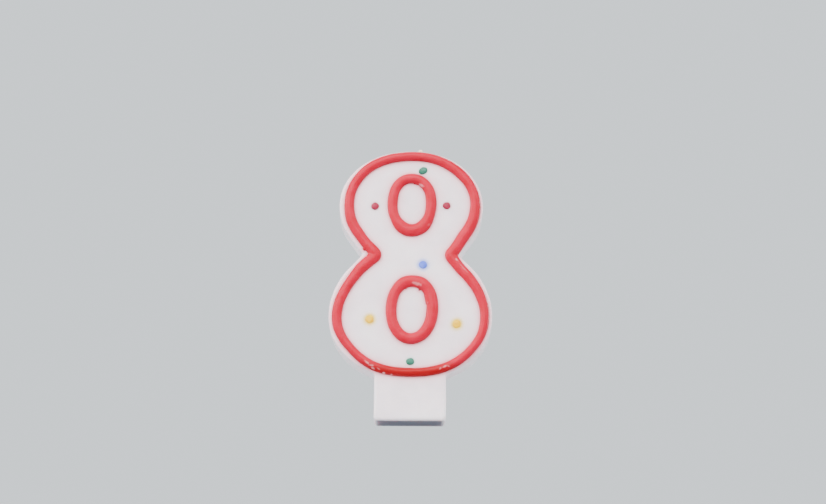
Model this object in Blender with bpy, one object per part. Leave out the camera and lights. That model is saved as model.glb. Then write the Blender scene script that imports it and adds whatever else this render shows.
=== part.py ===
"""Number birthday candle in the shape of a figure 8.

A white wax slab stands upright on its stem. Red wax beads are piped round its front edge and
round its two ovals, seven wax dots are dropped on the front, and a cotton wick runs up through
the slab and folds back over the top edge.

Frame: +Z up, front face towards -Y, origin at the centre of the stem's foot. Units are metres.
"""

import math

import bmesh
import bpy
import numpy as np
from mathutils import Matrix, Vector

MM = 0.001
GAP = 0.3 * MM  # left between pieces that touch on the real candle

# Wax slab
THICKNESS = 10.0 * MM
FRONT_Y = -THICKNESS / 2
BACK_Y = THICKNESS / 2
EDGE_ROUNDING = 0.8 * MM
TOP_Z = 80.0 * MM
BOWL_Z = 12.0 * MM  # lowest point of the lower lobe
UPPER_Z = 63.2 * MM  # height at which the upper lobe is widest
UPPER_HALF_WIDTH = 20.9 * MM
UPPER_FLANK_RADIUS = 15.0 * MM
UPPER_FLANK_TURN = 36.0  # degrees from vertical to the straight run into the waist
LOWER_Z = 30.4 * MM
LOWER_HALF_WIDTH = 23.5 * MM
LOWER_FLANK_RADIUS = 20.6 * MM
LOWER_FLANK_TURN = 44.0
LOBE_FULLNESS = 2.08  # superellipse exponent of the crown and the bowl
WAIST_ROUNDING = 1.0 * MM

# Stem
STEM_HALF_WIDTH = 10.25 * MM
STEM_CORNER = 1.0 * MM
STEM_FILLET = 0.8 * MM

# Piped beads
BEAD_WIDTH = 2.9 * MM
BEAD_HEIGHT = 1.4 * MM
BEAD_INSET = 2.3 * MM  # wax edge to the middle of the outline bead
BEAD_WAIST_ROUNDING = 1.7 * MM
RING_FULLNESS = 2.15
RINGS = {
    "upper_ring_bead": {"x": 0.2 * MM, "z": 63.7 * MM, "half_width": 5.6 * MM, "half_height": 7.8 * MM},
    "lower_ring_bead": {"x": 0.3 * MM, "z": 32.2 * MM, "half_width": 6.0 * MM, "half_height": 8.5 * MM},
}

# Dots: place on the front face, width and height in millimetres, and tilt in degrees
DOT_RISE = 0.6 * MM
DOTS = {
    "dot_red_left": {"x": -10.5, "z": 63.1, "wide": 2.3, "tall": 2.2, "tilt": 0, "wax": "red"},
    "dot_red_right": {"x": 10.3, "z": 63.4, "wide": 2.3, "tall": 2.1, "tilt": 0, "wax": "red"},
    "dot_green_top": {"x": 3.4, "z": 73.95, "wide": 2.7, "tall": 2.15, "tilt": 30, "wax": "green"},
    "dot_blue": {"x": 3.5, "z": 45.6, "wide": 2.3, "tall": 2.3, "tilt": 0, "wax": "blue"},
    "dot_yellow_left": {"x": -11.7, "z": 29.3, "wide": 2.4, "tall": 2.3, "tilt": 0, "wax": "yellow"},
    "dot_yellow_right": {"x": 13.3, "z": 28.1, "wide": 2.3, "tall": 2.4, "tilt": 0, "wax": "yellow"},
    "dot_green_bottom": {"x": 0.0, "z": 17.0, "wide": 2.4, "tall": 2.1, "tilt": 0, "wax": "green"},
}

# Wick
WICK_RADIUS = 0.75 * MM
WICK_X = 2.6 * MM
BORE_BOTTOM_Z = 14.0 * MM
WICK_ARCH_HEIGHT = 2.0 * MM  # top edge to the highest point of the wick's middle line
WICK_BACK_Y = BACK_Y + GAP + WICK_RADIUS + 0.1 * MM
WICK_TIP_Z = 74.5 * MM

# Linear base colour and roughness of each material
WAXES = {
    "white": ((0.86, 0.83, 0.80, 1.0), 0.38),
    "red": ((0.62, 0.03, 0.04, 1.0), 0.32),
    "green": ((0.05, 0.32, 0.19, 1.0), 0.35),
    "blue": ((0.25, 0.36, 0.78, 1.0), 0.35),
    "yellow": ((0.85, 0.60, 0.10, 1.0), 0.35),
    "cotton": ((0.84, 0.80, 0.72, 1.0), 0.85),
}


def clear_scene():
    for old in list(bpy.data.objects):
        bpy.data.objects.remove(old)


def make_material(name):
    """A Principled material of one of the waxes, or of the wick's cotton."""
    colour, roughness = WAXES[name]
    material = bpy.data.materials.new(name + ("_braid" if name == "cotton" else "_wax"))
    material.use_nodes = True
    shader = material.node_tree.nodes["Principled BSDF"]
    shader.inputs["Base Color"].default_value = colour
    shader.inputs["Roughness"].default_value = roughness
    shader.inputs["Metallic"].default_value = 0.0
    material.diffuse_color = colour
    return material


def make_object(name, bm, material):
    """Turns a bmesh into an object with one material, round parts shaded smooth."""
    bmesh.ops.recalc_face_normals(bm, faces=bm.faces)
    mesh = bpy.data.meshes.new(name)
    bm.to_mesh(mesh)
    bm.free()
    mesh.shade_smooth()
    mesh.set_sharp_from_angle(angle=math.radians(40))
    if material is not None:
        mesh.materials.append(material)
    made = bpy.data.objects.new(name, mesh)
    bpy.context.scene.collection.objects.link(made)
    return made


def arc(centre_x, centre_z, radius, start, end, steps):
    """Points of an arc in the XZ plane, from one angle to another in degrees."""
    angles = np.radians(np.linspace(start, end, steps + 1))
    return [(centre_x + radius * math.cos(a), centre_z + radius * math.sin(a)) for a in angles]


def superellipse(centre_x, centre_z, half_width, half_height, fullness, start, end, steps):
    """Points of a superellipse in the XZ plane; fullness 2 is a plain ellipse."""
    points = []
    for a in np.radians(np.linspace(start, end, steps + 1)):
        across = math.copysign(abs(math.cos(a)) ** (2 / fullness), math.cos(a))
        up = math.copysign(abs(math.sin(a)) ** (2 / fullness), math.sin(a))
        points.append((centre_x + half_width * across, centre_z + half_height * up))
    return points


def line_crossing(point_a, angle_a, point_b, angle_b):
    """Where two lines cross, each given by a point and its direction in radians."""
    ax, az = math.cos(angle_a), math.sin(angle_a)
    bx, bz = math.cos(angle_b), math.sin(angle_b)
    dx, dz = point_b[0] - point_a[0], point_b[1] - point_a[1]
    along = (dx * bz - dz * bx) / (ax * bz - az * bx)
    return point_a[0] + along * ax, point_a[1] + along * az


def eight_half(grow, waist_rounding):
    """Right half of the figure 8, from the bottom centre up to the top centre.

    grow moves the whole outline outwards from the wax edge, or inwards if negative.
    """
    lower_width = LOWER_HALF_WIDTH + grow
    upper_width = UPPER_HALF_WIDTH + grow
    lower_radius = LOWER_FLANK_RADIUS + grow
    upper_radius = UPPER_FLANK_RADIUS + grow
    bowl_height = LOWER_Z - BOWL_Z + grow
    crown_height = TOP_Z - UPPER_Z + grow
    bowl = superellipse(0, LOWER_Z, lower_width, bowl_height, LOBE_FULLNESS, -90, 0, 18)
    lower_flank = arc(lower_width - lower_radius, LOWER_Z, lower_radius, 0, LOWER_FLANK_TURN, 8)
    upper_flank = arc(upper_width - upper_radius, UPPER_Z, upper_radius, -UPPER_FLANK_TURN, 0, 7)
    crown = superellipse(0, UPPER_Z, upper_width, crown_height, LOBE_FULLNESS, 0, 90, 18)

    rising = math.radians(90 + LOWER_FLANK_TURN)
    spreading = math.radians(90 - UPPER_FLANK_TURN)
    notch = line_crossing(lower_flank[-1], rising, upper_flank[0], spreading)
    half_turn = math.radians((LOWER_FLANK_TURN + UPPER_FLANK_TURN) / 2)
    middle = math.radians((UPPER_FLANK_TURN - LOWER_FLANK_TURN) / 2)
    reach = waist_rounding / math.cos(half_turn)
    centre = (notch[0] + reach * math.cos(middle), notch[1] - reach * math.sin(middle))
    waist = arc(*centre, waist_rounding, 180 + LOWER_FLANK_TURN, 180 - UPPER_FLANK_TURN, 6)
    return bowl + lower_flank[1:] + waist + upper_flank[:-1] + crown


def bowl_height_at(x):
    """Height of the wax edge on the bowl of the lower lobe, at a distance from the middle."""
    across = (x / LOWER_HALF_WIDTH) ** LOBE_FULLNESS
    return LOWER_Z - (LOWER_Z - BOWL_Z) * (1 - across) ** (1 / LOBE_FULLNESS)


def slab_half():
    """Right half of the slab with its stem, from the foot up to the top centre."""
    meeting_z = bowl_height_at(STEM_HALF_WIDTH)
    fillet_top_z = bowl_height_at(STEM_HALF_WIDTH + STEM_FILLET)
    corner = arc(STEM_HALF_WIDTH - STEM_CORNER, STEM_CORNER, STEM_CORNER, -90, 0, 4)
    fillet = [(STEM_HALF_WIDTH, meeting_z - STEM_FILLET),
              (STEM_HALF_WIDTH + 0.25 * STEM_FILLET, meeting_z - 0.1 * STEM_FILLET)]
    body = [p for p in eight_half(0.0, WAIST_ROUNDING) if p[1] > fillet_top_z]
    return corner + fillet + body


def mirrored(half):
    """Closes a right half, which starts and ends near x = 0, with its mirror image."""
    left = [(-x, z) for x, z in reversed(half) if x > 1e-9]
    return half + left


def evened(points, count):
    """The same closed outline as count points at equal distances."""
    loop = np.array(points + points[:1])
    steps = np.linalg.norm(np.diff(loop, axis=0), axis=1)
    along = np.concatenate(([0.0], np.cumsum(steps)))
    wanted = np.linspace(0.0, along[-1], count, endpoint=False)
    xs = np.interp(wanted, along, loop[:, 0])
    zs = np.interp(wanted, along, loop[:, 1])
    return list(zip(xs, zs))


def sweep(path, normal, profile, closed):
    """Carries a closed profile along a path that lies in the plane of normal.

    A profile point is (across, out): across the path in its plane, and out along normal.
    """
    bm = bmesh.new()
    count = len(path)
    rings = []
    for i, point in enumerate(path):
        before = path[i - 1] if closed or i > 0 else point
        after = path[(i + 1) % count] if closed or i < count - 1 else point
        side = (after - before).normalized().cross(normal)
        rings.append([bm.verts.new(point + side * across + normal * out) for across, out in profile])
    size = len(profile)
    for i in range(count if closed else count - 1):
        here, there = rings[i], rings[(i + 1) % count]
        for j in range(size):
            k = (j + 1) % size
            bm.faces.new((here[j], here[k], there[k], there[j]))
    if not closed:
        bm.faces.new(rings[0])
        bm.faces.new(rings[-1])
    return bm


def bead_profile():
    """Half-round section of a piped bead: a flat underside and a domed top."""
    angles = np.radians(np.linspace(0, 180, 8))
    return [(BEAD_WIDTH / 2 * math.cos(a), BEAD_HEIGHT * math.sin(a)) for a in angles]


def make_bead(name, outline, count, material):
    """A closed bead along an outline on the front face."""
    base_y = FRONT_Y - GAP
    path = [Vector((x, base_y, z)) for x, z in evened(outline, count)]
    bm = sweep(path, Vector((0, -1, 0)), bead_profile(), closed=True)
    return make_object(name, bm, material)


def make_slab(material):
    """The wax casting: an extruded outline with rounded front and back rims."""
    outline = mirrored(slab_half())
    bm = bmesh.new()
    front = [bm.verts.new((x, FRONT_Y, z)) for x, z in outline]
    back = [bm.verts.new((x, BACK_Y, z)) for x, z in outline]
    rims = list(bm.faces.new(front).edges) + list(bm.faces.new(back).edges)
    for j in range(len(outline)):
        k = (j + 1) % len(outline)
        bm.faces.new((front[j], front[k], back[k], back[j]))
    bmesh.ops.recalc_face_normals(bm, faces=bm.faces)
    bmesh.ops.bevel(bm, geom=rims, offset=EDGE_ROUNDING, segments=3, profile=0.5,
                    affect="EDGES", clamp_overlap=True)
    return make_object("wax_body", bm, material)


def cut_wick_bore(slab):
    """Drills the blind bore that holds the wick, open at the top edge."""
    height = TOP_Z - BORE_BOTTOM_Z + 3 * MM
    bm = bmesh.new()
    bmesh.ops.create_cone(bm, cap_ends=True, segments=14, radius1=WICK_RADIUS + GAP,
                          radius2=WICK_RADIUS + GAP, depth=height)
    bmesh.ops.translate(bm, verts=bm.verts, vec=(WICK_X, 0, BORE_BOTTOM_Z + height / 2))
    cutter = make_object("wick_bore_cutter", bm, None)
    cutter.hide_render = True
    cutter.display_type = "WIRE"
    bore = slab.modifiers.new("wick_bore", "BOOLEAN")
    bore.operation = "DIFFERENCE"
    bore.solver = "EXACT"
    bore.object = cutter


def wick_path():
    """Middle line of the wick: up the bore, in an arch over the top edge, and down behind it."""
    rising = [(0.0, z) for z in np.linspace(BORE_BOTTOM_Z + GAP, TOP_Z, 8)]
    arch = superellipse(WICK_BACK_Y / 2, TOP_Z, WICK_BACK_Y / 2, WICK_ARCH_HEIGHT, 2, 180, 0, 12)
    hanging = [(WICK_BACK_Y, z) for z in np.linspace(TOP_Z, WICK_TIP_Z, 4)]
    return [Vector((WICK_X, y, z)) for y, z in rising + arch[1:] + hanging[1:]]


def make_wick(material):
    circle = [(WICK_RADIUS * math.cos(a), WICK_RADIUS * math.sin(a))
              for a in np.radians(np.arange(0, 360, 36))]
    return make_object("wick", sweep(wick_path(), Vector((1, 0, 0)), circle, closed=False), material)


def make_dot(name, dot, material):
    """A low wax dome on the front face, oval and tilted as its numbers say."""
    centre = Vector((dot["x"] * MM, FRONT_Y - GAP, dot["z"] * MM))
    tilt = Matrix.Rotation(-math.radians(dot["tilt"]), 3, "Y")
    turns = np.radians(np.arange(0, 360, 22.5))
    shrink_and_rise = [(1.0, 0.0), (0.86, 0.5), (0.5, 0.87)]
    bm = bmesh.new()
    rings = []
    for shrink, rise in shrink_and_rise:
        half_width = dot["wide"] * MM / 2 * shrink
        half_height = dot["tall"] * MM / 2 * shrink
        flat_ring = [Vector((half_width * math.cos(a), -rise * DOT_RISE, half_height * math.sin(a)))
                     for a in turns]
        rings.append([bm.verts.new(centre + tilt @ point) for point in flat_ring])
    bm.faces.new(rings[0])
    for lower, upper in zip(rings, rings[1:]):
        for j in range(len(turns)):
            k = (j + 1) % len(turns)
            bm.faces.new((lower[j], lower[k], upper[k], upper[j]))
    peak = bm.verts.new(centre + Vector((0, -DOT_RISE, 0)))
    for j in range(len(turns)):
        bm.faces.new((rings[-1][j], rings[-1][(j + 1) % len(turns)], peak))
    return make_object(name, bm, material)


def main():
    clear_scene()
    materials = {name: make_material(name) for name in WAXES}
    cut_wick_bore(make_slab(materials["white"]))
    make_wick(materials["cotton"])
    bead_line = mirrored(eight_half(-BEAD_INSET, BEAD_WAIST_ROUNDING))
    make_bead("outline_bead", bead_line, 120, materials["red"])
    for name, ring in RINGS.items():
        oval = superellipse(ring["x"], ring["z"], ring["half_width"], ring["half_height"],
                            RING_FULLNESS, 0, 355, 71)
        make_bead(name, oval, 48, materials["red"])
    for name, dot in DOTS.items():
        make_dot(name, dot, materials[dot["wax"]])


main()
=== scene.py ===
"""Looks of a number birthday candle, figure 8: cast white wax, hand-piped red beads, wax dots
and a braided cotton wick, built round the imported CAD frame.

Shapes are worked out in millimetres and turned into metres when an object is made.
"""

import math

import bmesh
import bpy
import numpy as np
from mathutils import Matrix, Vector, kdtree, noise


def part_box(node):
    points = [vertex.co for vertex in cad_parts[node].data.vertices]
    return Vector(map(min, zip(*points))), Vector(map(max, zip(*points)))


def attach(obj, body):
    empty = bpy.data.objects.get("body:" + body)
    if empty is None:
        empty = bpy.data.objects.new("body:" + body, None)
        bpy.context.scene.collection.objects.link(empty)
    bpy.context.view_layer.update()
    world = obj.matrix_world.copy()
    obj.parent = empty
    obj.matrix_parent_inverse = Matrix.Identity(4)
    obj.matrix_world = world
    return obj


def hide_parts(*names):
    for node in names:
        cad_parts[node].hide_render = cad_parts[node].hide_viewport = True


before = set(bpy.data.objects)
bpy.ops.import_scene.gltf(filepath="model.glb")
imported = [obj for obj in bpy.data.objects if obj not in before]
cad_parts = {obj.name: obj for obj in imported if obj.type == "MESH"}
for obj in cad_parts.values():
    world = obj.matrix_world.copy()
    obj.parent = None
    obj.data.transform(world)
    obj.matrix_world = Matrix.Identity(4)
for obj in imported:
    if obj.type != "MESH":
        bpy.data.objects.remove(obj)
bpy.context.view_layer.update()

MM = 0.001
BODY = "root"

# ---------------------------------------------------------------- sizes from the frame
slab_low, slab_high = (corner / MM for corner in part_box("wax_body"))
wick_low, wick_high = (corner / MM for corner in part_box("wick"))
FRONT_Y, BACK_Y = slab_low.y, slab_high.y
TOP_Z = slab_high.z
LOWER_HALF_WIDTH = slab_high.x
WICK_X = (wick_low.x + wick_high.x) / 2

# ---------------------------------------------------------------- the figure's outline
BOWL_Z = 12.0  # lowest point of the lower lobe
UPPER_Z = 63.2  # height at which the upper lobe is widest
UPPER_HALF_WIDTH = 20.9
UPPER_FLANK_RADIUS = 15.0
UPPER_FLANK_TURN = 36.0  # degrees from vertical to the straight run into the waist
LOWER_Z = 30.4
LOWER_FLANK_RADIUS = 20.6
LOWER_FLANK_TURN = 44.0
LOBE_FULLNESS = 2.08  # superellipse exponent of the crown and the bowl
WAIST_ROUNDING = 1.0
BEAD_WAIST_ROUNDING = 0.8  # the same corner on the bead's middle line
WAIST_Z = 48.6
STEM_HALF_WIDTH = 10.25
STEM_CORNER = 1.0
STEM_FILLET = 0.8
RIM_ROUNDING = 0.75

# ---------------------------------------------------------------- piping
BEAD_HEIGHT = 1.35
BEAD_INSET = 2.3  # wax edge to the middle of the outline bead, where the hand kept to its line
BEAD_SINK = 0.4  # how deep the underside of a bead or dot sits in the slab
RING_TOP_FULLNESS = 2.25  # superellipse exponents of the two ovals
RING_BASE_FULLNESS = 2.03
UPPER_RING = ((0.2, 63.68), 5.6, 7.84)  # centre, half width and half height of the middle line
UPPER_RING_WIDTH = 2.98
UPPER_RING_TAIL = ((0.9, 70.2), (1.7, 69.85), (2.35, 69.55))
LOWER_RING = ((0.35, 32.2), 5.9, 8.5)
LOWER_RING_WIDTH = 3.25
LOWER_RING_PIVOT, LOWER_RING_TURN = (0.35, 32.15), 3.0
LOWER_RING_TAIL = ((0.2, 40.0), (1.5, 39.75), (2.6, 39.2), (2.75, 38.6), (2.35, 37.85))

# Distances between the points of the paths, and voxels of the skins.
OUTLINE_SPACING = 0.3
RING_SPACING = 0.25
TAIL_SPACING = 0.1
SLAB_SPACING = 0.45
WICK_SPACING = 0.16
OUTLINE_VOXEL = 0.17
RING_VOXEL = 0.15
SLAB_VOXEL = 0.30
WICK_VOXEL = 0.08
SMOOTHING_ROUNDS = 60  # for the inset and width along the outline

# How the hand ran the outline bead up each flank: (height, inset of its middle, width).
RIGHT_RUN = (
    (14.0, 1.90, 2.60), (16.0, 1.65, 2.75), (18.0, 1.85, 2.65), (21.0, 2.25, 2.50),
    (33.0, 2.15, 2.70), (38.5, 2.65, 2.90), (45.5, 2.60, 3.20), (52.5, 1.95, 3.55),
    (57.0, 2.30, 3.45), (61.5, 2.25, 3.20), (69.0, 2.20, 2.75), (73.5, 2.05, 3.00),
    (77.0, 1.65, 2.85))
LEFT_RUN = (
    (14.0, 1.90, 2.60), (16.0, 1.70, 2.75), (20.5, 2.65, 2.45), (29.0, 2.22, 2.95),
    (34.0, 2.50, 2.95), (38.5, 3.00, 2.90), (42.0, 3.00, 3.00), (45.5, 2.35, 3.50),
    (53.0, 2.50, 3.05), (57.0, 2.70, 3.25), (62.0, 2.85, 2.90), (66.0, 2.82, 2.85),
    (70.0, 2.55, 2.80), (73.5, 2.10, 2.80), (77.0, 1.75, 2.80))
WAIST_REACH = 5.0  # height above and below the waist over which the bead moves to the right
LEFT_WAIST_SHIFT, RIGHT_WAIST_SHIFT = 0.75, 0.45
# Blobs of wax, at the waist's turns and at the laps: (x, height over the face, z), radii, tilt.
WAIST_BLOBS = (
    ((-11.15, 0.25, 47.6), (1.6, 1.05, 2.0), 5),
    ((-13.6, 0.05, 50.2), (0.40, 0.45, 0.62), 25),
    ((11.8, 0.35, 48.3), (1.5, 0.95, 1.6), 5),
    ((13.4, 0.25, 47.5), (0.8, 0.75, 0.5), -45))
UPPER_RING_BLOBS = (
    ((3.6, 0.1, 70.1), (1.9, 0.95, 1.15), -50),
    ((3.15, 0.0, 69.45), (1.15, 0.42, 0.75), -45))
LOWER_RING_BLOBS = (
    ((3.6, 0.15, 39.3), (1.9, 1.0, 1.3), -50),
    ((-1.75, 0.1, 38.75), (0.7, 0.6, 0.4), -20))

# Pale streaks in the beads, partly scuffs and partly painted highlights on rough spots: (x, z, length,
# width, angle, strength).
OUTLINE_SCUFFS_AND_HIGHLIGHTS = (
    (-12.3, 16.4, 1.9, 0.55, -38, 0.48), (-11.1, 15.6, 1.7, 0.50, -12, 0.42),
    (-10.6, 14.8, 1.5, 0.50, -30, 0.40), (-9.0, 14.6, 1.1, 0.40, -35, 0.30),
    (-7.5, 13.5, 0.9, 0.55, -18, 0.80), (-5.3, 13.0, 0.8, 0.50, -10, 0.70),
    (9.9, 15.4, 1.5, 0.50, 28, 0.50), (8.6, 14.8, 1.0, 0.50, 50, 0.40),
    (10.9, 15.5, 1.0, 0.40, -20, 0.35), (13.2, 46.9, 1.2, 0.60, -50, 0.45),
    (15.2, 44.4, 4.0, 0.45, -48, 0.22), (-13.0, 49.2, 1.0, 0.50, 40, 0.30))
UPPER_RING_SCUFFS_AND_HIGHLIGHTS = ((2.9, 69.3, 1.8, 0.7, -35, 0.45), (5.2, 57.4, 1.2, 0.6, 45, 0.10))
LOWER_RING_SCUFFS_AND_HIGHLIGHTS = ((1.8, 39.65, 3.0, 1.0, -16, 0.40), (4.9, 34.1, 0.8, 0.5, 70, 0.12))
# Colour of the pale streaks: partly scuffed wax, partly painted highlight.
SCUFF_AND_HIGHLIGHT_COLOUR = (0.82, 0.38, 0.40)


def ramp(value, low, high):
    """Smooth step from 0 at low to 1 at high, for numbers and arrays."""
    t = np.clip((value - low) / (high - low), 0.0, 1.0)
    return t * t * (3.0 - 2.0 * t)


def hump(value, middle, half_width):
    """Smooth bump: 1 at the middle, 0 at half_width and beyond."""
    return 1.0 - ramp(np.abs(value - middle), 0.0, half_width)


def ripple(points, scale, seed):
    """Smooth noise from about -1 to 1 at each point; scale is the size of its lumps in mm."""
    shift = Vector((seed * 7.31, seed * 3.77, seed * 5.13))
    return np.array([noise.noise(Vector(p) / scale + shift) for p in points]) * 1.6


# ---------------------------------------------------------------- outlines, in the XZ plane
def arc(centre_x, centre_z, radius, start, end, steps):
    """Points of an arc from one angle to another, in degrees."""
    angles = np.radians(np.linspace(start, end, steps + 1))
    return [(centre_x + radius * math.cos(a), centre_z + radius * math.sin(a)) for a in angles]


def superellipse(centre, half_width, half_height, fullness, start, end, steps):
    """Points of a superellipse; fullness 2 is a plain ellipse."""
    points = []
    for a in np.radians(np.linspace(start, end, steps + 1)):
        across = math.copysign(abs(math.cos(a)) ** (2 / fullness), math.cos(a))
        up = math.copysign(abs(math.sin(a)) ** (2 / fullness), math.sin(a))
        points.append((centre[0] + half_width * across, centre[1] + half_height * up))
    return points


def oval(centre, half_width, half_height):
    """A ring's middle line from its right-hand side, anticlockwise: fuller above than below."""
    top = superellipse(centre, half_width, half_height, RING_TOP_FULLNESS, 0, 180, 120)
    base = superellipse(centre, half_width, half_height, RING_BASE_FULLNESS, 180, 360, 120)
    return top + base[1:-1]


def line_crossing(point_a, angle_a, point_b, angle_b):
    """Where two lines cross, each given by a point and its direction in radians."""
    ax, az = math.cos(angle_a), math.sin(angle_a)
    bx, bz = math.cos(angle_b), math.sin(angle_b)
    dx, dz = point_b[0] - point_a[0], point_b[1] - point_a[1]
    along = (dx * bz - dz * bx) / (ax * bz - az * bx)
    return point_a[0] + along * ax, point_a[1] + along * az


def eight_half(grow, waist_rounding):
    """Right half of the figure 8 from the bottom centre to the top centre, moved outwards by grow."""
    lower_width, lower_radius = LOWER_HALF_WIDTH + grow, LOWER_FLANK_RADIUS + grow
    upper_width, upper_radius = UPPER_HALF_WIDTH + grow, UPPER_FLANK_RADIUS + grow
    bowl = superellipse((0, LOWER_Z), lower_width, LOWER_Z - BOWL_Z + grow, LOBE_FULLNESS, -90, 0, 60)
    lower_flank = arc(lower_width - lower_radius, LOWER_Z, lower_radius, 0, LOWER_FLANK_TURN, 24)
    upper_flank = arc(upper_width - upper_radius, UPPER_Z, upper_radius, -UPPER_FLANK_TURN, 0, 20)
    crown = superellipse((0, UPPER_Z), upper_width, TOP_Z - UPPER_Z + grow, LOBE_FULLNESS, 0, 90, 60)

    rising = math.radians(90 + LOWER_FLANK_TURN)
    spreading = math.radians(90 - UPPER_FLANK_TURN)
    notch = line_crossing(lower_flank[-1], rising, upper_flank[0], spreading)
    half_turn = math.radians((LOWER_FLANK_TURN + UPPER_FLANK_TURN) / 2)
    middle = math.radians((UPPER_FLANK_TURN - LOWER_FLANK_TURN) / 2)
    reach = waist_rounding / math.cos(half_turn)
    centre = (notch[0] + reach * math.cos(middle), notch[1] - reach * math.sin(middle))
    waist = arc(*centre, waist_rounding, 180 + LOWER_FLANK_TURN, 180 - UPPER_FLANK_TURN, 12)
    return bowl + lower_flank[1:] + waist + upper_flank[:-1] + crown


def slab_half():
    """Right half of the slab with its stem, from the foot up to the top centre."""
    across = (STEM_HALF_WIDTH / LOWER_HALF_WIDTH) ** LOBE_FULLNESS
    meeting_z = LOWER_Z - (LOWER_Z - BOWL_Z) * (1 - across) ** (1 / LOBE_FULLNESS)
    corner = arc(STEM_HALF_WIDTH - STEM_CORNER, STEM_CORNER, STEM_CORNER, -90, 0, 10)
    body = [p for p in eight_half(0.0, WAIST_ROUNDING)
            if p[1] > meeting_z and p[0] > 0 and (p[0] > STEM_HALF_WIDTH + STEM_FILLET or p[1] > LOWER_Z)]
    start = np.array((STEM_HALF_WIDTH, meeting_z - STEM_FILLET))
    bend = np.array((STEM_HALF_WIDTH, meeting_z))
    fillet = [tuple((1 - t) ** 2 * start + 2 * t * (1 - t) * bend + t * t * np.array(body[0]))
              for t in np.linspace(0, 1, 7)[:-1]]
    return corner + fillet + body + [(0.0, TOP_Z)]


def mirrored(half):
    """Closes a right half, which starts and ends near x = 0, with its mirror image."""
    return half + [(-x, z) for x, z in reversed(half) if x > 1e-6]


def evened(points, spacing, closed=True):
    """The same outline with its points at equal distances, as an array."""
    line = np.array(list(points) + ([points[0]] if closed else []), float)
    steps = np.linalg.norm(np.diff(line, axis=0), axis=1)
    along = np.concatenate(([0.0], np.cumsum(steps)))
    count = max(8, round(along[-1] / spacing))
    wanted = np.linspace(0.0, along[-1], count, endpoint=not closed)
    return np.stack([np.interp(wanted, along, line[:, i]) for i in range(line.shape[1])], axis=1)


# ---------------------------------------------------------------- mesh helpers, in mm
BLOB_STEPS = 20
MERGE_DISTANCE = 0.004


class Shape:
    """Vertices and faces of closed shells, gathered before they are fused into one surface."""

    def __init__(self):
        self.points = []
        self.faces = []

    def add_rings(self, rings, closed):
        """Joins rings of equal length into a tube, and caps it unless it closes on itself."""
        start, size, count = len(self.points), len(rings[0]), len(rings)
        for ring in rings:
            self.points.extend(tuple(p) for p in ring)
        for i in range(count if closed else count - 1):
            here, there = start + i * size, start + (i + 1) % count * size
            for j in range(size):
                k = (j + 1) % size
                self.faces.append((here + j, here + k, there + k, there + j))
        if not closed:
            self.faces.append(tuple(range(start + size - 1, start - 1, -1)))
            self.faces.append(tuple(range(start + (count - 1) * size, start + count * size)))

    def add_blob(self, spot, radii, tilt):
        """An ellipsoid at (x, height over the front face, z), tilted in the XZ plane by degrees."""
        centre = Vector((spot[0], FRONT_Y - spot[1], spot[2]))
        turn = Matrix.Rotation(-math.radians(tilt), 3, "Y")
        rings = []
        for a in np.linspace(-math.pi / 2, math.pi / 2, BLOB_STEPS // 2 + 1)[1:-1]:
            around = np.linspace(0, 2 * math.pi, BLOB_STEPS, endpoint=False)
            rings.append([centre + turn @ Vector((
                radii[0] * math.cos(a) * math.cos(b),
                radii[1] * math.sin(a),
                radii[2] * math.cos(a) * math.sin(b))) for b in around])
        self.add_rings(rings, closed=False)

    def mesh(self, name):
        """The gathered shells as a mesh in millimetres, with their normals pointing outwards."""
        made = bpy.data.meshes.new(name)
        made.from_pydata(self.points, [], self.faces)
        bm = bmesh.new()
        bm.from_mesh(made)
        bmesh.ops.recalc_face_normals(bm, faces=bm.faces)
        bm.to_mesh(made)
        bm.free()
        return made


def fused(shape, voxel):
    """One smooth skin round all the shells of a shape, as a mesh in millimetres."""
    scratch = bpy.data.objects.new("scratch", shape.mesh("scratch"))
    bpy.context.scene.collection.objects.link(scratch)
    remesh = scratch.modifiers.new("skin", "REMESH")
    remesh.mode = "VOXEL"
    remesh.voxel_size = voxel
    graph = bpy.context.evaluated_depsgraph_get()
    skin = bpy.data.meshes.new_from_object(scratch.evaluated_get(graph), depsgraph=graph)
    bpy.data.objects.remove(scratch)
    return skin


def keep_largest_shell(mesh):
    """Removes the small closed voids that fusing leaves inside a braid, and merges stray points."""
    bm = bmesh.new()
    bm.from_mesh(mesh)
    bmesh.ops.remove_doubles(bm, verts=bm.verts, dist=MERGE_DISTANCE)
    shells, seen = [], set()
    for start in bm.verts:
        if start in seen:
            continue
        seen.add(start)
        shell, waiting = [], [start]
        while waiting:
            vertex = waiting.pop()
            shell.append(vertex)
            for edge in vertex.link_edges:
                other = edge.other_vert(vertex)
                if other not in seen:
                    seen.add(other)
                    waiting.append(other)
        shells.append(shell)
    shells.sort(key=len)
    bmesh.ops.delete(bm, geom=[v for shell in shells[:-1] for v in shell], context="VERTS")
    bm.to_mesh(mesh)
    bm.free()


def read_points(mesh):
    points = np.zeros(len(mesh.vertices) * 3, np.float32)
    mesh.vertices.foreach_get("co", points)
    return points.reshape(-1, 3).astype(float)


def read_normals(mesh):
    normals = np.zeros(len(mesh.vertices) * 3, np.float32)
    mesh.vertex_normals.foreach_get("vector", normals)
    return normals.reshape(-1, 3).astype(float)


def write_points(mesh, points):
    mesh.vertices.foreach_set("co", points.astype(np.float32).ravel())
    mesh.update()


def relax(mesh, rounds):
    """Evens out a skin without shrinking it: each smoothing step is followed by a step back."""
    points = read_points(mesh)
    edges = np.zeros(len(mesh.edges) * 2, np.int32)
    mesh.edges.foreach_get("vertices", edges)
    one, two = edges.reshape(-1, 2).T
    degree = np.bincount(np.concatenate((one, two)), minlength=len(points))[:, None]
    for step in [0.5, -0.52] * rounds:
        total = np.zeros_like(points)
        np.add.at(total, one, points[two])
        np.add.at(total, two, points[one])
        points += step * (total / degree - points)
    write_points(mesh, points)


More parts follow.
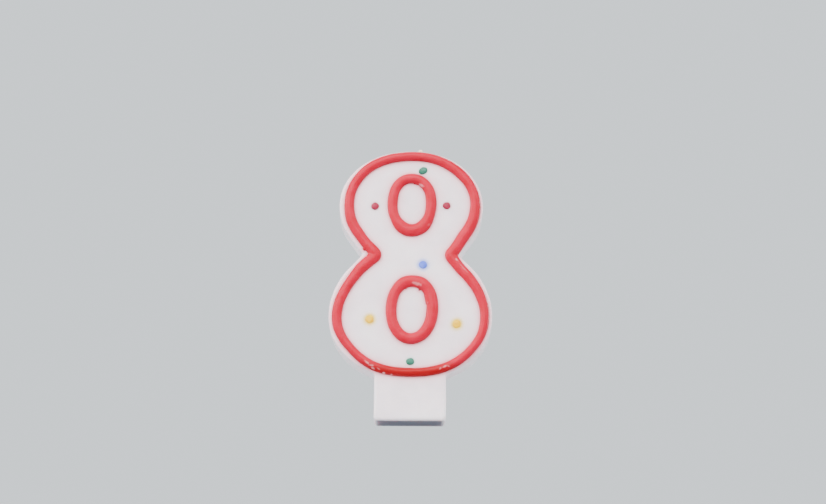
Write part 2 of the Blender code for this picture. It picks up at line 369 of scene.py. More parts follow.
def make_piece(name, mesh, material, slot, *nodes):
    """Turns a mesh in millimetres into a shown piece that stands for CAD nodes."""
    mesh.transform(Matrix.Scale(MM, 4))
    mesh.name = name
    mesh.materials.clear()
    mesh.materials.append(material)
    mesh.shade_smooth()
    made = bpy.data.objects.new(name, mesh)
    bpy.context.scene.collection.objects.link(made)
    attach(made, BODY)
    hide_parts(*nodes)
    return made


# ---------------------------------------------------------------- piping and dots
BEAD_STEPS = 28
UNDERSIDE_SHARE = 0.97  # width of a bead's hidden underside, as a share of its dome's


def piped_line(path, widths, heights, closed):
    """Rings of a wax bead laid on the front face along a path of (x, z) points.

    The bead is domed over the face and sinks a little into it, so no gap shows below it.
    """
    count = len(path)
    around = np.linspace(0, 2 * math.pi, BEAD_STEPS, endpoint=False)
    across = np.cos(around)
    out = np.sin(around)
    rings = []
    for i in range(count):
        before = path[i - 1] if closed or i > 0 else path[0]
        after = path[(i + 1) % count] if closed or i < count - 1 else path[-1]
        way = (after - before) / np.linalg.norm(after - before)
        side = np.array((-way[1], way[0]))
        half = widths[i] / 2
        reach = np.where(out >= 0, out * heights[i], out * BEAD_SINK)
        spread = across * half * np.where(out >= 0, 1.0, UNDERSIDE_SHARE)
        flat = path[i] + spread[:, None] * side
        rings.append(np.stack((flat[:, 0], FRONT_Y - reach, flat[:, 1]), axis=1))
    return rings


def smoothed(values, rounds):
    """Evens out values round a closed path."""
    for _ in range(rounds):
        values = (np.roll(values, 1) + 2 * values + np.roll(values, -1)) / 4
    return values


def upright(path):
    """The (x, z) points of a path as (x, y, z), with y at 0."""
    return np.stack((path[:, 0], np.zeros(len(path)), path[:, 1]), axis=1)


def wobbled(path, amount, scale, seed):
    """Moves the points of a path a little, as a hand does."""
    deep = upright(path)
    return path + amount * np.stack((ripple(deep, scale, seed), ripple(deep, scale, seed + 1)), axis=1)


def hand_width(path, width, amount, scale, seed):
    """Width along a path, swelling and thinning a little."""
    return width * (1.0 + amount * ripple(upright(path), scale, seed))


def add_tail(shape, points, width, height, thinnest):
    """Draws a bead off along a few points, until only a share of it is left."""
    path = evened(points, TAIL_SPACING, closed=False)
    thin = np.linspace(1.0, thinnest, len(path))
    shape.add_rings(piped_line(path, width * thin, height * thin, closed=False), closed=False)


def finish_bead(shape, name, material, scuffs_and_highlights, voxel):
    """Fuses a bead's shells and gives its skin the small unevenness of wax that was piped hot.

    Pale streaks, partly whitened scuffs and partly painted highlights on rough spots, are stored as a
    colour attribute and raised a little.
    """
    skin = fused(shape, voxel)
    relax(skin, 3)
    points, normals = read_points(skin), read_normals(skin)
    grain = ripple(points, 0.45, 13)
    scuff_and_highlight_share = np.zeros(len(points))
    for x, z, length, width, angle, strength in scuffs_and_highlights:
        way = np.array((math.cos(math.radians(angle)), math.sin(math.radians(angle))))
        off = np.stack((points[:, 0] - x, points[:, 2] - z), axis=1)
        far = np.hypot(off @ way / (length / 2), off @ np.array((-way[1], way[0])) / (width / 2))
        scuff_and_highlight_share = np.maximum(scuff_and_highlight_share, strength * (1.0 - ramp(far + 0.25 * grain, 0.35, 1.25)))
    depth = 0.022 * ripple(points, 1.8, 11) + 0.006 * ripple(points, 0.6, 12) + 0.05 * scuff_and_highlight_share
    write_points(skin, points + normals * depth[:, None])
    store_colours(skin, "scuff_and_highlight", np.tile(SCUFF_AND_HIGHLIGHT_COLOUR, (len(points), 1)), scuff_and_highlight_share)
    return make_piece(name, skin, material, "red_wax", name.replace("piped_", ""))


def store_colours(skin, name, colours, share):
    """Stores a colour and how strongly it covers the wax at each point."""
    layer = skin.attributes.new(name, "FLOAT_COLOR", "POINT")
    layer.data.foreach_set("color", np.column_stack((colours, share)).astype(np.float32).ravel())


def along_run(run, path, column):
    """A column of a run's table, read at the height of each point of a path."""
    return np.interp(path[:, 1], [row[0] for row in run], [row[column] for row in run])


def make_outline(material):
    """The bead round the front edge: a closed loop with thick, blobby turns at the waist."""
    path = evened(mirrored(eight_half(-BEAD_INSET, BEAD_WAIST_ROUNDING)), OUTLINE_SPACING)
    left = path[:, 0] < 0
    inset, widths = (
        np.where(left, along_run(LEFT_RUN, path, i), along_run(RIGHT_RUN, path, i)) for i in (1, 2))
    path += (smoothed(inset, SMOOTHING_ROUNDS) - BEAD_INSET)[:, None] * inward(path)
    waist = hump(path[:, 1], WAIST_Z, WAIST_REACH)
    path[:, 0] += np.where(left, LEFT_WAIST_SHIFT, RIGHT_WAIST_SHIFT) * waist
    path = wobbled(path, 0.05, 7.0, 1)
    widths = smoothed(widths, SMOOTHING_ROUNDS) + 0.25 * hump(path[:, 1], WAIST_Z, 3.0)
    heights = hand_width(path, BEAD_HEIGHT, 0.07, 5.0, 4)
    shape = Shape()
    shape.add_rings(piped_line(path, widths, heights, closed=True), closed=True)
    for blob in WAIST_BLOBS:
        shape.add_blob(*blob)
    return finish_bead(shape, "piped_outline_bead", material, OUTLINE_SCUFFS_AND_HIGHLIGHTS, OUTLINE_VOXEL)


def turned(points, centre, angle):
    """Points turned clockwise about a centre by an angle in degrees."""
    a = math.radians(angle)
    turn = np.array(((math.cos(a), -math.sin(a)), (math.sin(a), math.cos(a))))
    return (points - np.array(centre)) @ turn + np.array(centre)


def make_upper_ring(material):
    """The upper oval, thick below. Its ends lap at the top right and fill the inner corner there."""
    path = evened(oval(*UPPER_RING), RING_SPACING)
    path = wobbled(path, 0.05, 5.0, 5)
    low = ramp(-path[:, 1], -60.0, -56.5)
    right = ramp(path[:, 0], 1.0, 5.0)
    widths = hand_width(path, UPPER_RING_WIDTH, 0.03, 4.0, 6) + 0.80 * low + 0.20 * right
    heights = hand_width(path, BEAD_HEIGHT, 0.06, 4.0, 7)
    shape = Shape()
    shape.add_rings(piped_line(path, widths, heights, closed=True), closed=True)
    for blob in UPPER_RING_BLOBS:
        shape.add_blob(*blob)
    add_tail(shape, UPPER_RING_TAIL, 0.8, 0.7, 0.25)
    return finish_bead(shape, "piped_upper_ring_bead", material, UPPER_RING_SCUFFS_AND_HIGHLIGHTS, RING_VOXEL)


def make_lower_ring(material):
    """The lower oval, a little askew. Its end is drawn off at the top right in a thin inner hook."""
    path = evened(oval(*LOWER_RING), RING_SPACING)
    path = wobbled(turned(path, LOWER_RING_PIVOT, LOWER_RING_TURN), 0.05, 5.0, 8)
    top = ramp(path[:, 1], 38.0, 40.5)
    right = ramp(path[:, 0], 1.0, 5.0)
    widths = hand_width(path, LOWER_RING_WIDTH, 0.04, 4.0, 9) + 0.25 * top + 0.20 * right
    lip = right * ramp(path[:, 1], 34.0, 34.4) * (1.0 - ramp(path[:, 1], 36.0, 38.5))
    widths += 0.25 * lip
    path[:, 0] -= 0.10 * lip
    heights = hand_width(path, BEAD_HEIGHT + 0.03, 0.06, 4.0, 10)
    shape = Shape()
    shape.add_rings(piped_line(path, widths, heights, closed=True), closed=True)
    for blob in LOWER_RING_BLOBS:
        shape.add_blob(*blob)
    add_tail(shape, LOWER_RING_TAIL, 1.7, 1.0, 0.22)
    return finish_bead(shape, "piped_lower_ring_bead", material, LOWER_RING_SCUFFS_AND_HIGHLIGHTS, RING_VOXEL)


DOTS = {
    "dot_red_left": {"seed": 21, "rise": 0.62, "slot": "red_dot_wax"},
    "dot_red_right": {"seed": 22, "rise": 0.60, "slot": "red_dot_wax"},
    "dot_green_top": {"seed": 23, "rise": 0.66, "slot": "green_wax"},
    "dot_green_bottom": {"seed": 24, "rise": 0.60, "slot": "green_wax"},
    "dot_blue": {"seed": 25, "rise": 0.36, "slot": "blue_wax"},
    "dot_yellow_left": {"seed": 26, "rise": 0.36, "slot": "yellow_wax"},
    "dot_yellow_right": {"seed": 27, "rise": 0.38, "slot": "yellow_wax"},
}
DOT_TILT = {"dot_green_top": 30.0}
TILTED_WIDTH, TILTED_HEIGHT = 1.06, 0.93  # a tilted oval's own sizes, as shares of its box
DOT_SKIRT = 0.2  # share of a dot's rings that lie below the face
DOT_STEPS = 56


def make_dot(name, look, material):
    """A drop of wax on the front face: an uneven outline, a domed top and a sunken foot."""
    low, high = (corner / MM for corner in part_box(name))
    centre_x, centre_z = (low.x + high.x) / 2, (low.z + high.z) / 2
    half_width, half_height = (high.x - low.x) / 2, (high.z - low.z) / 2
    tilt = math.radians(DOT_TILT.get(name, 0.0))
    if tilt:
        half_width, half_height = half_width * TILTED_WIDTH, half_height * TILTED_HEIGHT
    around = np.linspace(0, 2 * math.pi, DOT_STEPS, endpoint=False)
    circle = np.stack((np.cos(around), np.zeros_like(around), np.sin(around)), axis=1)
    uneven = 1.0 + 0.05 * ripple(circle, 0.8, look["seed"])
    rings = []
    for part in np.linspace(0.0, 1.0, 16):
        if part < DOT_SKIRT:
            shrink, rise = 0.9, -BEAD_SINK * (1.0 - part / DOT_SKIRT)
        else:
            turn = (part - DOT_SKIRT) / (1.0 - DOT_SKIRT) * math.pi / 2
            shrink, rise = max(math.cos(turn), 0.02), look["rise"] * math.sin(turn)
        across = half_width * shrink * uneven * np.cos(around)
        up = half_height * shrink * uneven * np.sin(around)
        rings.append(np.stack((
            centre_x + across * math.cos(tilt) - up * math.sin(tilt),
            np.full_like(around, FRONT_Y - rise),
            centre_z + across * math.sin(tilt) + up * math.cos(tilt)), axis=1))
    shape = Shape()
    shape.add_rings(rings, closed=False)
    skin = shape.mesh(name)
    points, normals = read_points(skin), read_normals(skin)
    write_points(skin, points + normals * (0.02 * ripple(points, 0.6, look["seed"]))[:, None])
    return make_piece("drop_" + name[4:], skin, material, look["slot"], name)


# ---------------------------------------------------------------- slab
BACK_HOLLOW = 0.40  # how far the whole back is sunken inside its rim
SINKS = ((0.5, 62.0, 11.0, 0.30), (-1.0, 31.0, 15.0, 0.45), (0.5, 5.5, 7.0, 0.20))  # x, z, reach, depth
COLLAR = ((2.30, -1.60), (2.10, -0.35), (1.45, 0.10),  # radius, height over the top edge
          (1.05, 0.50), (0.86, 0.85), (0.55, 0.95))
PIT_SEED = 8
BACK_PITS, PITS_A_SIDE = 26, 14
FOOT_CHIPS = ((10.2, -4.9, 0.4), (-9.8, 5.0, 0.5), (4.5, 5.0, 0.0))
PIT_DEPTH = 0.30  # as a share of the pit's radius
BLEED_AND_GLOW_DEPTH = 1.2  # how far behind the front face the bled colour and its painted glow can reach
GLOW_REACH = 1.1  # distance over which the wide painted glow of the bled colour fades


def inward(outline):
    """Unit vectors into the shape at each point of an anticlockwise outline."""
    way = np.roll(outline, -1, axis=0) - np.roll(outline, 1, axis=0)
    way /= np.linalg.norm(way, axis=1)[:, None]
    return np.stack((-way[:, 1], way[:, 0]), axis=1)


def make_slab(material, bleeds_and_glows):
    """The white casting: soft rims, a flat decorated front and a slightly sunken back."""
    outline = evened(mirrored(slab_half()), SLAB_SPACING)
    into = inward(outline)
    rings = []
    turns = np.radians(np.linspace(0, 90, 6))
    for a in turns:
        rings.append((RIM_ROUNDING * (1 - math.sin(a)), FRONT_Y + RIM_ROUNDING * (1 - math.cos(a))))
    for a in turns[::-1]:
        rings.append((RIM_ROUNDING * (1 - math.sin(a)), BACK_Y - RIM_ROUNDING * (1 - math.cos(a))))
    shape = Shape()
    placed = []
    for inset, y in rings:
        flat = outline + inset * into
        placed.append(np.stack((flat[:, 0], np.full(len(flat), y), flat[:, 1]), axis=1))
    shape.add_rings(placed, closed=False)

    collar = []
    for radius, height in COLLAR:
        around = np.linspace(0, 2 * math.pi, 24, endpoint=False)
        collar.append([(WICK_X + radius * math.cos(a), radius * math.sin(a), TOP_Z + height)
                       for a in around])
    shape.add_rings(collar, closed=False)

    skin = fused(shape, SLAB_VOXEL)
    relax(skin, 4)
    points, normals = read_points(skin), read_normals(skin)
    edge = kd_of(upright(outline))
    inset = np.array([edge.find((x, 0.0, z))[2] for x, y, z in points])
    front = ramp(-normals[:, 1], 0.6, 0.95)
    back = ramp(normals[:, 1], 0.6, 0.95)
    wall = 1.0 - front - back

    depth = 0.05 * ripple(points, 9.0, 31) + 0.02 * ripple(points, 3.0, 32)
    depth -= back * (BACK_HOLLOW * ramp(inset, 0.7, 4.5) + sinks(points))
    depth += back * 0.08 * np.sin(inset * 2 * math.pi / 2.1) * np.exp(-inset / 5.0)
    depth += back * 0.10 * ripple(points, 5.5, 34)
    streaked = points * np.array((0.12, 1.0, 0.12))  # noise drawn out along the walls
    depth += wall * 0.045 * ripple(streaked, 0.7, 33)
    depth -= pits(points)
    # The foot stays almost flat, and no point of it goes below the floor.
    depth *= 1.0 - 0.85 * ramp(-normals[:, 2], 0.8, 0.95) * ramp(-points[:, 2], -1.5, 0.0)
    points += normals * depth[:, None]
    points[:, 2] = np.maximum(points[:, 2], 0.0)
    write_points(skin, points)
    paint_bleed_and_glow(skin, points, bleeds_and_glows)
    return make_piece("wax_slab", skin, material, "white_wax", "wax_body")


def sinks(points):
    """Depth of the hollows in the poured back, where the thick wax shrank as it cooled."""
    depth = np.zeros(len(points))
    for x, z, reach, deep in SINKS:
        far = np.hypot(points[:, 0] - x, points[:, 2] - z)
        depth += deep * (1.0 - ramp(far, 0.0, reach))
    return depth


def kd_of(points):
    """A search tree over points, to find the nearest one."""
    tree = kdtree.KDTree(len(points))
    for i, point in enumerate(points):
        tree.insert(point, i)
    tree.balance()
    return tree


def pits(points):
    """Depth of the small air-bubble pits in the back and walls, and of the chips at the foot."""
    draw = np.random.default_rng(PIT_SEED)
    spots = []
    for _ in range(BACK_PITS):
        place = (draw.uniform(-20, 20), BACK_Y, draw.uniform(2, 78))
        spots.append((place, draw.uniform(0.5, 1.0)))
    for side in (-1, 1):
        for _ in range(PITS_A_SIDE):
            place = (side * draw.uniform(17, 24), draw.uniform(-3.0, 4.5), draw.uniform(14, 76))
            spots.append((place, draw.uniform(0.5, 0.9)))
    spots += [(place, 1.1) for place in FOOT_CHIPS]
    depth = np.zeros(len(points))
    for place, radius in spots:
        far = np.linalg.norm(points - np.array(place), axis=1)
        depth += PIT_DEPTH * radius * (1.0 - ramp(far, 0.0, radius))
    return depth


def paint_bleed_and_glow(skin, points, bleeds_and_glows):
    """Stores how much colour of the piping and the dots shows in the wax at each point, partly as bled
    dye and partly as painted glow of light scattered through the wax.

    Each entry is (search tree, colour, reach of its core, strength, strength of its wide painted glow).
    """
    colours = np.full((len(points), 3), 0.9)
    cover = np.zeros(len(points))
    at_front = points[:, 1] < FRONT_Y + BLEED_AND_GLOW_DEPTH
    for tree, colour, reach, strength, glow in bleeds_and_glows:
        far = np.full(len(points), 99.0)
        far[at_front] = [tree.find(p)[2] for p in points[at_front]]
        core = strength * np.exp(-(far / reach) ** 2)
        share = np.minimum(core + glow * np.exp(-far / GLOW_REACH), 1.0)
        more = share > cover
        colours[more] = colour
        cover[more] = share[more]
    store_colours(skin, "bleed_and_glow", colours, cover)


# ---------------------------------------------------------------- wick
STRANDS = 8
STRAND_PITCH = 4.2
BRAID_RADIUS = 0.46
STRAND_HALF_WIDTH = 0.27
STRAND_HALF_THICKNESS = 0.18
STRAND_LIFT = 0.10
CORE_RADIUS = 0.48
HANGING_END = 8.3  # from the top of the wick down to its cut end
SPLAY_LENGTH = 1.0


def wick_line():
    """Middle line of the wick as (y, z): up the slab, over the top edge and down behind it."""
    radius = (wick_high.x - wick_low.x) / 2
    back_y = wick_high.y - radius
    arch_height = wick_high.z - radius - TOP_Z
    rising = [(0.0, wick_low.z), (0.0, TOP_Z - 0.5)]
    arch = superellipse((back_y / 2, TOP_Z), back_y / 2, arch_height, 2, 180, 0, 40)
    hanging = [(back_y, z) for z in np.linspace(TOP_Z, wick_high.z - HANGING_END, 6)[1:]]
    return evened(rising + arch + hanging, WICK_SPACING, closed=False)


def beside(spot, side, flat):
    """The point of a cross-section: spot is (y, z) on the wick's line, flat is (along X, along side)."""
    return WICK_X + flat[0], spot[0] + flat[1] * side[0], spot[1] + flat[1] * side[1]


def make_wick(material):
    """A round braid of eight strands over a core, its cut end a little splayed."""
    line = wick_line()
    way = np.gradient(line, axis=0)
    way /= np.linalg.norm(way, axis=1)[:, None]
    side = np.stack((-way[:, 1], way[:, 0]), axis=1)
    steps = np.linalg.norm(np.diff(line, axis=0), axis=1)
    along = np.concatenate(([0.0], np.cumsum(steps)))
    splay = ramp(along, along[-1] - SPLAY_LENGTH, along[-1])
    shape = Shape()
    lay = 2 * math.pi / STRAND_PITCH
    for strand in range(STRANDS):
        turns = 1 if strand % 2 else -1
        angle = turns * lay * along + strand * math.pi / 4
        radius = BRAID_RADIUS + turns * STRAND_LIFT * np.sin(4 * lay * along)
        radius = radius * (1.0 + 0.22 * splay)
        last = len(line) - 1 - (strand * 5) % 3
        rings = []
        for i in range(last + 1):
            out = np.array((math.cos(angle[i]), math.sin(angle[i])))
            round_it = np.array((-out[1], out[0]))
            ring = []
            for b in np.linspace(0, 2 * math.pi, 8, endpoint=False):
                flat = (radius[i] + STRAND_HALF_THICKNESS * math.sin(b)) * out
                flat = flat + STRAND_HALF_WIDTH * (1 - 0.25 * splay[i]) * math.cos(b) * round_it
                ring.append(beside(line[i], side[i], flat))
            rings.append(ring)
        shape.add_rings(rings, closed=False)
    core = []
    for i in range(len(line) - 2):
        core.append([beside(line[i], side[i], (CORE_RADIUS * math.cos(b), CORE_RADIUS * math.sin(b)))
                     for b in np.linspace(0, 2 * math.pi, 8, endpoint=False)])
    shape.add_rings(core, closed=False)
    braid = fused(shape, WICK_VOXEL)
    keep_largest_shell(braid)
    return make_piece("braided_wick", braid, material, "wick_cotton", "wick")


# ---------------------------------------------------------------- materials
def new_material(name):
    """A new node material, with its node tree and its Principled shader."""
    material = bpy.data.materials.new(name)
    material.use_nodes = True
    tree = material.node_tree
    return material, tree, tree.nodes["Principled BSDF"]


def add_noise(tree, scale, detail, roughness=0.55):
    """Noise over the object's own coordinates; scale is in lumps per metre."""
    place = tree.nodes.new("ShaderNodeTexCoord")
    texture = tree.nodes.new("ShaderNodeTexNoise")
    texture.inputs["Scale"].default_value = scale
    texture.inputs["Detail"].default_value = detail
    texture.inputs["Roughness"].default_value = roughness
    tree.links.new(place.outputs["Object"], texture.inputs["Vector"])
    return texture.outputs["Fac"]


def add_ramp(tree, factor, stops):
    """A colour ramp fed by a factor; stops are (position, linear colour)."""
    node = tree.nodes.new("ShaderNodeValToRGB")
    elements = node.color_ramp.elements
    while len(elements) < len(stops):
        elements.new(0.5)
    for element, (position, colour) in zip(elements, stops):
        element.position = position
        element.color = (*colour, 1.0)
    tree.links.new(factor, node.inputs["Fac"])
    return node.outputs["Color"]


def add_range(tree, value, low, high, to_low, to_high):
    """Maps a value from one range to another."""
    node = tree.nodes.new("ShaderNodeMapRange")
    for name, number in (("From Min", low), ("From Max", high), ("To Min", to_low), ("To Max", to_high)):
        node.inputs[name].default_value = number
    tree.links.new(value, node.inputs["Value"])
    return node.outputs["Result"]


def add_mix(tree, factor, one, two):
    """Mixes two colours by a factor, which is a socket or a number."""
    node = tree.nodes.new("ShaderNodeMix")
    node.data_type = "RGBA"
    for socket, value in ((node.inputs["Factor"], factor), (node.inputs[6], one), (node.inputs[7], two)):
        if isinstance(value, bpy.types.NodeSocket):
            tree.links.new(value, socket)
        elif isinstance(value, tuple):
            socket.default_value = (*value, 1.0)
        else:
            socket.default_value = value
    return node.outputs[2]


def add_bumps(tree, shader, layers):
    """Stacks bump nodes into the shader's normal; layers are (height socket, depth in metres)."""
    below = None
    for height, depth in layers:
        bump = tree.nodes.new("ShaderNodeBump")
        bump.inputs["Strength"].default_value = 1.0
        bump.inputs["Distance"].default_value = depth
        tree.links.new(height, bump.inputs["Height"])
        if below is not None:
            tree.links.new(below, bump.inputs["Normal"])
        below = bump.outputs["Normal"]
    tree.links.new(below, shader.inputs["Normal"])


def set_subsurface(shader, weight, reach, radius):
    """Light that goes into the wax and out again; reach is in metres, radius is for red, green, blue."""
    shader.inputs["Subsurface Weight"].default_value = weight
    shader.inputs["Subsurface Scale"].default_value = reach
    shader.inputs["Subsurface Radius"].default_value = radius


def white_wax():
    """Milky paraffin: cloudy mottling, fine frosting, and a tint near the piping and dots that is partly
    bled dye and partly painted glow.
    """
    material, tree, shader = new_material("white_wax")
    cloudy = add_noise(tree, 130, 4)
    base = add_ramp(tree, cloudy, (
        (0.32, (0.85, 0.765, 0.82)), (0.5, (0.91, 0.815, 0.875)), (0.68, (0.93, 0.86, 0.905))))
    frosting = add_noise(tree, 1400, 2)
    base = add_mix(tree, add_range(tree, frosting, 0.62, 0.75, 0.0, 0.25), base, (0.93, 0.92, 0.92))
    # The tint near the coloured wax: partly bled dye, partly painted glow.
    bleed_and_glow = tree.nodes.new("ShaderNodeVertexColor")
    bleed_and_glow.layer_name = "bleed_and_glow"
    base = add_mix(tree, bleed_and_glow.outputs["Alpha"], base, bleed_and_glow.outputs["Color"])
    tree.links.new(base, shader.inputs["Base Color"])
    patchy = add_noise(tree, 420, 3)
    tree.links.new(add_range(tree, patchy, 0.3, 0.7, 0.30, 0.46), shader.inputs["Roughness"])
    add_bumps(tree, shader, (
        (add_noise(tree, 600, 3), 0.00006), (add_noise(tree, 3200, 2), 0.00002)))
    set_subsurface(shader, 0.65, 0.0015, (1.0, 0.86, 0.80))
    shader.inputs["Specular IOR Level"].default_value = 0.45
    return material


# Deep, middle and pale shade of each dyed wax, as linear colours.
RED_SHADES = ((0.44, 0.001, 0.020), (0.47, 0.002, 0.026), (0.50, 0.004, 0.032))
DOT_SHADES = {
    "red_dot_wax": ((0.27, 0.012, 0.040), (0.32, 0.020, 0.055), (0.37, 0.032, 0.07)),
    "green_wax": ((0.020, 0.135, 0.085), (0.032, 0.17, 0.115), (0.05, 0.21, 0.15)),
    "blue_wax": ((0.07, 0.12, 0.68), (0.10, 0.16, 0.74), (0.15, 0.22, 0.78)),
    "yellow_wax": ((0.82, 0.46, 0.001), (0.88, 0.53, 0.002), (0.92, 0.60, 0.01)),
}
# Painted contact shade along the feet of the beads.
RED_PAINTED_SHADE_AT_FOOT = (0.26, 0.003, 0.010)
RED_AT_BOTTOM = (0.31, 0.0005, 0.003)
BOTTOM_FROM, BOTTOM_TO = 17.5, 14.3  # heights between which the outline bead deepens downwards
PAINTED_FOOT_SHADE_RISE = 0.55  # height over the face up to which a bead's foot gets painted contact shade

# Colour that shows in the white wax near the coloured wax, partly bled dye and partly painted glow of
# light scattered through the wax: colour, reach of the core, its strength, strength of the glow.
PIPING_BLEED_AND_GLOW = ((1.0, 0.38, 0.45), 0.45, 0.40, 0.70)
DOT_BLEEDS_AND_GLOWS = {
    "red_dot_wax": ((0.80, 0.40, 0.44), 0.40, 0.45, 0.08),
    "green_wax": ((0.45, 0.70, 0.58), 0.40, 0.40, 0.06),
    "blue_wax": ((0.22, 0.32, 0.82), 0.70, 0.75, 0.10),
    "yellow_wax": ((0.88, 0.62, 0.06), 0.70, 0.85, 0.12),
}


def coloured_wax(name, shades, scale=450, subsurface=0.3):
    """Dyed wax with softly clouded colour, uneven gloss and a fine grain."""
    material, tree, shader = new_material(name)
    cloudy = add_noise(tree, scale, 3)
    base = add_ramp(tree, cloudy, tuple(zip((0.34, 0.5, 0.66), shades)))
    tree.links.new(base, shader.inputs["Base Color"])
    patchy = add_noise(tree, scale * 2, 3)
    tree.links.new(add_range(tree, patchy, 0.3, 0.7, 0.30, 0.42), shader.inputs["Roughness"])
    add_bumps(tree, shader, (
        (add_noise(tree, scale * 2.5, 3), 0.00004), (add_noise(tree, 5000, 2), 0.000008)))
    set_subsurface(shader, subsurface, 0.0006, (1.0, 0.45, 0.40))
    shader.inputs["Specular IOR Level"].default_value = 0.16
    shader.inputs["Coat Weight"].default_value = 0.07
    shader.inputs["Coat Roughness"].default_value = 0.16
    return material


def piping_wax():
    """The red of the beads: painted contact shade along their feet, deeper towards the bottom, and pale
    streaks that are partly scuffs and partly painted highlights.
    """
    material = coloured_wax("red_wax", RED_SHADES, 300, 0.2)
    tree = material.node_tree
    shader = tree.nodes["Principled BSDF"]
    shader.inputs["Specular Tint"].default_value = (1.0, 0.6, 0.6, 1.0)
    base = shader.inputs["Base Color"].links[0].from_socket
    place = tree.nodes.new("ShaderNodeTexCoord")
    split = tree.nodes.new("ShaderNodeSeparateXYZ")
    tree.links.new(place.outputs["Object"], split.inputs["Vector"])
    # Painted contact shade: the bead darkens towards its foot on the slab.
    painted_foot_shade = add_range(tree, split.outputs["Y"],
                     (FRONT_Y - PAINTED_FOOT_SHADE_RISE) * MM, FRONT_Y * MM, 0.0, 0.75)
    base = add_mix(tree, painted_foot_shade, base, RED_PAINTED_SHADE_AT_FOOT)
    bottom = add_range(tree, split.outputs["Z"], BOTTOM_FROM * MM, BOTTOM_TO * MM, 0.0, 0.95)
    base = add_mix(tree, bottom, base, RED_AT_BOTTOM)
    # Pale streaks: partly scuffs, partly painted highlights.
    scuff_and_highlight = tree.nodes.new("ShaderNodeVertexColor")
    scuff_and_highlight.layer_name = "scuff_and_highlight"
    base = add_mix(tree, scuff_and_highlight.outputs["Alpha"], base, scuff_and_highlight.outputs["Color"])
    tree.links.new(base, shader.inputs["Base Color"])
    return material


def wick_cotton():
    """Cotton primed with wax: a fine fibrous grain, yellowed a little in patches."""
    material, tree, shader = new_material("wick_cotton")
    fibres = add_noise(tree, 9000, 3, 0.7)
    cloudy = add_noise(tree, 900, 3)
    base = add_ramp(tree, cloudy, ((0.3, (0.60, 0.50, 0.37)), (0.7, (0.78, 0.70, 0.58))))
    base = add_mix(tree, add_range(tree, fibres, 0.35, 0.65, 0.0, 0.35), base, (0.92, 0.88, 0.80))
    tree.links.new(base, shader.inputs["Base Color"])
    tree.links.new(add_range(tree, fibres, 0.3, 0.7, 0.55, 0.85), shader.inputs["Roughness"])
    add_bumps(tree, shader, ((fibres, 0.00004),))
    set_subsurface(shader, 0.35, 0.0006, (1.0, 0.85, 0.7))
    shader.inputs["Sheen Weight"].default_value = 0.2
    return material


# ---------------------------------------------------------------- stage, light and camera
FLOOR_CLEAR = 0.35  # radius in metres at which the floor starts to fade into the surroundings
FLOOR_END = 1.6
FLOOR_HALF_SIZE = 2.0
FLOOR_Z = -0.0002
LIGHT_COLOUR = (1.0, 0.96, 0.93)
LIGHT_TARGET = Vector((0, 0, 0.042))
LIGHTS = (  # name, azimuth, elevation, distance, width, height, power
    ("key", -22, 36, 1.2, 1.6, 1.2, 45.0),
    ("left_strip", -84, 16, 0.9, 0.07, 0.5, 5.5),
    ("right_fill", 55, 25, 1.2, 0.7, 0.7, 8.0),
    ("rear", 168, 55, 1.2, 0.6, 0.4, 8.0),
    ("rear_graze", 114, 14, 0.9, 0.12, 0.4, 5.0))
WORLD_LIGHT = ((0.86, 0.94, 1.0, 1.0), 0.62)  # colour and strength of the light it gives
WORLD_SEEN = ((0.88, 0.95, 1.0, 1.0), 1.20)  # colour and strength that the camera sees


def floor_material():
    """Matte, slightly translucent and pale. It fades out with distance, and is clear from below."""
    material, tree, shader = new_material("pale_floor")
    shader.inputs["Base Color"].default_value = (0.40, 0.41, 0.42, 1.0)
    shader.inputs["Roughness"].default_value = 0.9
    shader.inputs["Specular IOR Level"].default_value = 0.1
    through = tree.nodes.new("ShaderNodeBsdfTranslucent")
    through.inputs["Color"].default_value = (0.22, 0.24, 0.27, 1.0)
    solid = tree.nodes.new("ShaderNodeAddShader")
    clear = tree.nodes.new("ShaderNodeBsdfTransparent")
    mix = tree.nodes.new("ShaderNodeMixShader")
    facing = tree.nodes.new("ShaderNodeNewGeometry")
    place = tree.nodes.new("ShaderNodeTexCoord")
    far = tree.nodes.new("ShaderNodeVectorMath")
    far.operation = "LENGTH"
    tree.links.new(place.outputs["Object"], far.inputs[0])
    fade = add_range(tree, far.outputs["Value"], FLOOR_CLEAR, FLOOR_END, 0.0, 1.0)
    share = tree.nodes.new("ShaderNodeMath")
    share.operation = "MAXIMUM"
    tree.links.new(facing.outputs["Backfacing"], share.inputs[0])
    tree.links.new(fade, share.inputs[1])
    tree.links.new(shader.outputs["BSDF"], solid.inputs[0])
    tree.links.new(through.outputs["BSDF"], solid.inputs[1])
    tree.links.new(share.outputs["Value"], mix.inputs["Fac"])
    tree.links.new(solid.outputs["Shader"], mix.inputs[1])
    tree.links.new(clear.outputs["BSDF"], mix.inputs[2])
    tree.links.new(mix.outputs["Shader"], tree.nodes["Material Output"].inputs["Surface"])
    return material


def make_floor():
    """A wide floor just under the foot. The camera looks up from below it, so it is one-sided."""
    half, z = FLOOR_HALF_SIZE, FLOOR_Z
    corners = [(-half, -half, z), (half, -half, z), (half, half, z), (-half, half, z)]
    mesh = bpy.data.meshes.new("floor")
    mesh.from_pydata(corners, [], [(0, 1, 2, 3)])
    mesh.materials.append(floor_material())
    floor = bpy.data.objects.new("floor", mesh)
    bpy.context.scene.collection.objects.link(floor)


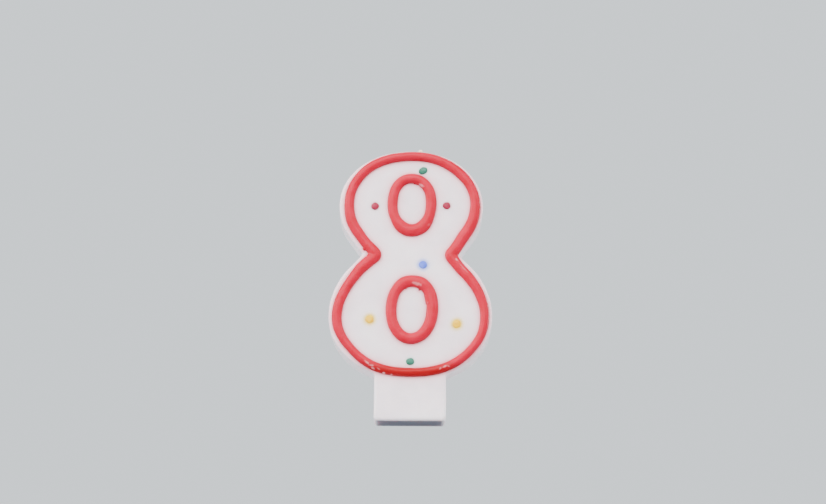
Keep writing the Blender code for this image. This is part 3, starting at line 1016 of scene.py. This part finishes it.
def make_world():
    """A pale surround. What the camera sees of it is a little brighter than the light it gives."""
    world = bpy.data.worlds.new("studio")
    bpy.context.scene.world = world
    world.use_nodes = True
    tree = world.node_tree
    light = tree.nodes["Background"]
    seen = tree.nodes.new("ShaderNodeBackground")
    for node, (colour, strength) in ((light, WORLD_LIGHT), (seen, WORLD_SEEN)):
        node.inputs["Color"].default_value = colour
        node.inputs["Strength"].default_value = strength
    path = tree.nodes.new("ShaderNodeLightPath")
    mix = tree.nodes.new("ShaderNodeMixShader")
    tree.links.new(path.outputs["Is Camera Ray"], mix.inputs["Fac"])
    tree.links.new(light.outputs["Background"], mix.inputs[1])
    tree.links.new(seen.outputs["Background"], mix.inputs[2])
    tree.links.new(mix.outputs["Shader"], tree.nodes["World Output"].inputs["Surface"])


def add_light(name, azimuth, elevation, distance, wide, tall, power):
    """A soft rectangular light that looks at the candle; azimuth 0 is the front, 90 is +X."""
    data = bpy.data.lights.new(name, "AREA")
    data.shape = "RECTANGLE"
    data.size, data.size_y = wide, tall
    data.energy = power
    data.color = LIGHT_COLOUR
    light = bpy.data.objects.new(name, data)
    bpy.context.scene.collection.objects.link(light)
    turn, lift = math.radians(azimuth), math.radians(elevation)
    away = Vector((math.sin(turn) * math.cos(lift), -math.cos(turn) * math.cos(lift), math.sin(lift)))
    light.location = LIGHT_TARGET + away * distance
    light.rotation_euler = (-away).to_track_quat("-Z", "Y").to_euler()
    light.visible_camera = False


CAMERA_DISTANCE = 0.63
CAMERA_ELEVATION = -15.0
CAMERA_TARGET = Vector((0.0006, -0.005, 0.0494))
CAMERA_LENS = 94.9
CAMERA_ROLL = 0.4  # degrees; the candle leans this much to the right in the view


def make_camera():
    """The photograph's view, from below the candle's middle."""
    data = bpy.data.cameras.new("camera")
    data.sensor_width = 36.0
    data.lens = CAMERA_LENS
    data.clip_start, data.clip_end = 0.01, 50.0
    camera = bpy.data.objects.new("camera", data)
    bpy.context.scene.collection.objects.link(camera)
    lift = math.radians(CAMERA_ELEVATION)
    back = Vector((0.0, -math.cos(lift), math.sin(lift)))
    camera.location = CAMERA_TARGET + back * CAMERA_DISTANCE
    level = (-back).to_track_quat("-Z", "Y").to_matrix()
    camera.rotation_euler = (level @ Matrix.Rotation(math.radians(CAMERA_ROLL), 3, "Z")).to_euler()
    bpy.context.scene.camera = camera


# ---------------------------------------------------------------- build
make_camera()
make_world()
make_floor()
for light in LIGHTS:
    add_light(*light)

red = piping_wax()
dot_waxes = {name: coloured_wax(name, shades) for name, shades in DOT_SHADES.items()}
beads = [make_outline(red), make_upper_ring(red), make_lower_ring(red)]
drops = {name: make_dot(name, look, dot_waxes[look["slot"]]) for name, look in DOTS.items()}

# Where the coloured wax tints the white: bled dye and painted glow of light scattered through the wax.
bleeds_and_glows = [(kd_of(read_points(bead.data) / MM), *PIPING_BLEED_AND_GLOW) for bead in beads]
for name, drop in drops.items():
    bleeds_and_glows.append((kd_of(read_points(drop.data) / MM), *DOT_BLEEDS_AND_GLOWS[DOTS[name]["slot"]]))
make_slab(white_wax(), bleeds_and_glows)
make_wick(wick_cotton())
